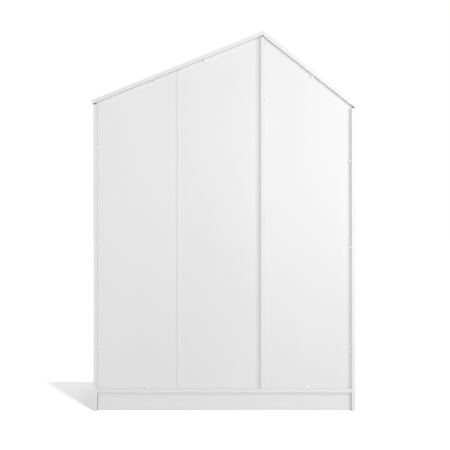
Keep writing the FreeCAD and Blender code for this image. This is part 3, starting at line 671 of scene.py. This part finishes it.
# ---------------------------------------------------------------- floor, light and camera
# The wardrobe stands on a plain pale floor under a soft white sky. A near softbox stands behind the
# narrow bay and a weak one behind the wide bay, and both studio walls glow. The floor is two sheets,
# so that a lamp's shadow ends in front of the doors. The camera looks squarely at the back.
VIEW_DISTANCE = 3.6
VIEW_HEIGHT = 0.810
VIEW_SIDE = -0.003
VIEW_WIDTH = 1.9595
SENSOR = 36.0
back_y = cad_box[1][1]

floor_paint = bpy.data.materials.new("pale_floor")
floor_paint.use_nodes = True
paint = floor_paint.node_tree
paint.nodes["Principled BSDF"].inputs["Roughness"].default_value = 1.0
paint.nodes["Principled BSDF"].inputs["Specular IOR Level"].default_value = 0.0
seen_directly = add_node(paint, "ShaderNodeLightPath")
floor_tone = add_node(paint, "ShaderNodeMix", data_type="RGBA")
floor_tone.inputs[6].default_value = (0.45, 0.45, 0.45, 1)
floor_tone.inputs[7].default_value = (1.0, 1.0, 1.0, 1)
paint.links.new(seen_directly.outputs["Is Camera Ray"], floor_tone.inputs[0])
paint.links.new(floor_tone.outputs[2], paint.nodes["Principled BSDF"].inputs["Base Color"])
FLOOR_SIZE = 60
FLOOR_JOIN = cad_box[0][1] - 0.16


def lay_floor(name, middle_y):
    deselect()
    bpy.ops.mesh.primitive_plane_add(size=FLOOR_SIZE, location=(0, middle_y, 0))
    sheet = settle(bpy.context.active_object)
    sheet.name = name
    sheet.data.materials.append(floor_paint)
    return sheet


near_floor = lay_floor("studio_floor_near", FLOOR_JOIN + FLOOR_SIZE / 2)
far_floor = lay_floor("studio_floor_far", FLOOR_JOIN - FLOOR_SIZE / 2)

WALL_GLOW = 1.46
FLOOR_SUN = 1.2


def hang_lamp(name, kind, energy, place, toward):
    lamp = bpy.data.lights.new(name, kind)
    lamp.energy = energy
    stand = bpy.data.objects.new(name, lamp)
    stand.location = place
    stand.rotation_euler = Vector(toward).to_track_quat("-Z", "Y").to_euler()
    bpy.context.scene.collection.objects.link(stand)
    return stand


def hang_softbox(name, energy, place, aim, wide, tall):
    box_lamp = hang_lamp(name, "AREA", energy, place, Vector(aim) - Vector(place))
    box_lamp.data.shape = "RECTANGLE"
    box_lamp.data.size = wide
    box_lamp.data.size_y = tall
    box_lamp.visible_camera = False


hang_softbox("near_softbox", 15.8, (-1.6, back_y + 1.25, 1.4), (-0.2, back_y, 0.95), 0.9, 1.0)
hang_softbox("far_softbox", 4, (2.2, back_y + 1.9, 1.2), (0.2, back_y, 0.9), 0.6, 1.0)
for side in (1, -1):
    wall_glow = hang_lamp("studio_wall_glow", "SUN", WALL_GLOW, (0, side * 3, 1), (0, -side, -0.1))
    wall_glow.data.angle = math.radians(36)


def light_only(lamp, name, *receivers):
    lit = bpy.data.collections.new(name)
    for receiver in receivers:
        lit.objects.link(receiver)
    lamp.light_linking.receiver_collection = lit
    return lit


FLOOR_SUN_DIRECTION = (0.383, -0.68, -1.34)
near_sun = hang_lamp("near_floor_sun", "SUN", FLOOR_SUN, (0, 0, 3), FLOOR_SUN_DIRECTION)
near_sun.data.angle = math.radians(4)
light_only(near_sun, "lit_near_floor", near_floor)
far_sun = hang_lamp("far_floor_sun", "SUN", FLOOR_SUN, (0, 0, 3), FLOOR_SUN_DIRECTION)
far_sun.light_linking.blocker_collection = light_only(far_sun, "lit_far_floor", far_floor)
floor_fill = hang_lamp("floor_fill", "SUN", 1.02, (0, 0, 3), (0, 0, -1))
floor_fill.data.angle = math.radians(140)
light_only(floor_fill, "lit_whole_floor", near_floor, far_floor)

world = bpy.data.worlds.new("white_sky")
world.use_nodes = True
bpy.context.scene.world = world
sky = world.node_tree
glow = sky.nodes["Background"]
glow.inputs["Color"].default_value = (1, 1, 1, 1)
glow.inputs["Strength"].default_value = 0.42
backdrop = add_node(sky, "ShaderNodeBackground", Color=(1, 1, 1, 1), Strength=1.0)
rays = add_node(sky, "ShaderNodeLightPath")
choice = add_node(sky, "ShaderNodeMixShader")
sky.links.new(rays.outputs["Is Camera Ray"], choice.inputs[0])
sky.links.new(glow.outputs[0], choice.inputs[1])
sky.links.new(backdrop.outputs[0], choice.inputs[2])
sky.links.new(choice.outputs[0], sky.nodes["World Output"].inputs["Surface"])

camera = bpy.data.cameras.new("view_of_the_back")
camera.sensor_width = SENSOR
camera.lens = SENSOR * VIEW_DISTANCE / VIEW_WIDTH
stand = bpy.data.objects.new("view_of_the_back", camera)
stand.location = (VIEW_SIDE, back_y + VIEW_DISTANCE, VIEW_HEIGHT)
stand.rotation_euler = (math.pi / 2, 0, math.pi)
bpy.context.scene.collection.objects.link(stand)
bpy.context.scene.camera = stand
bpy.context.scene.view_settings.view_transform = "Standard"
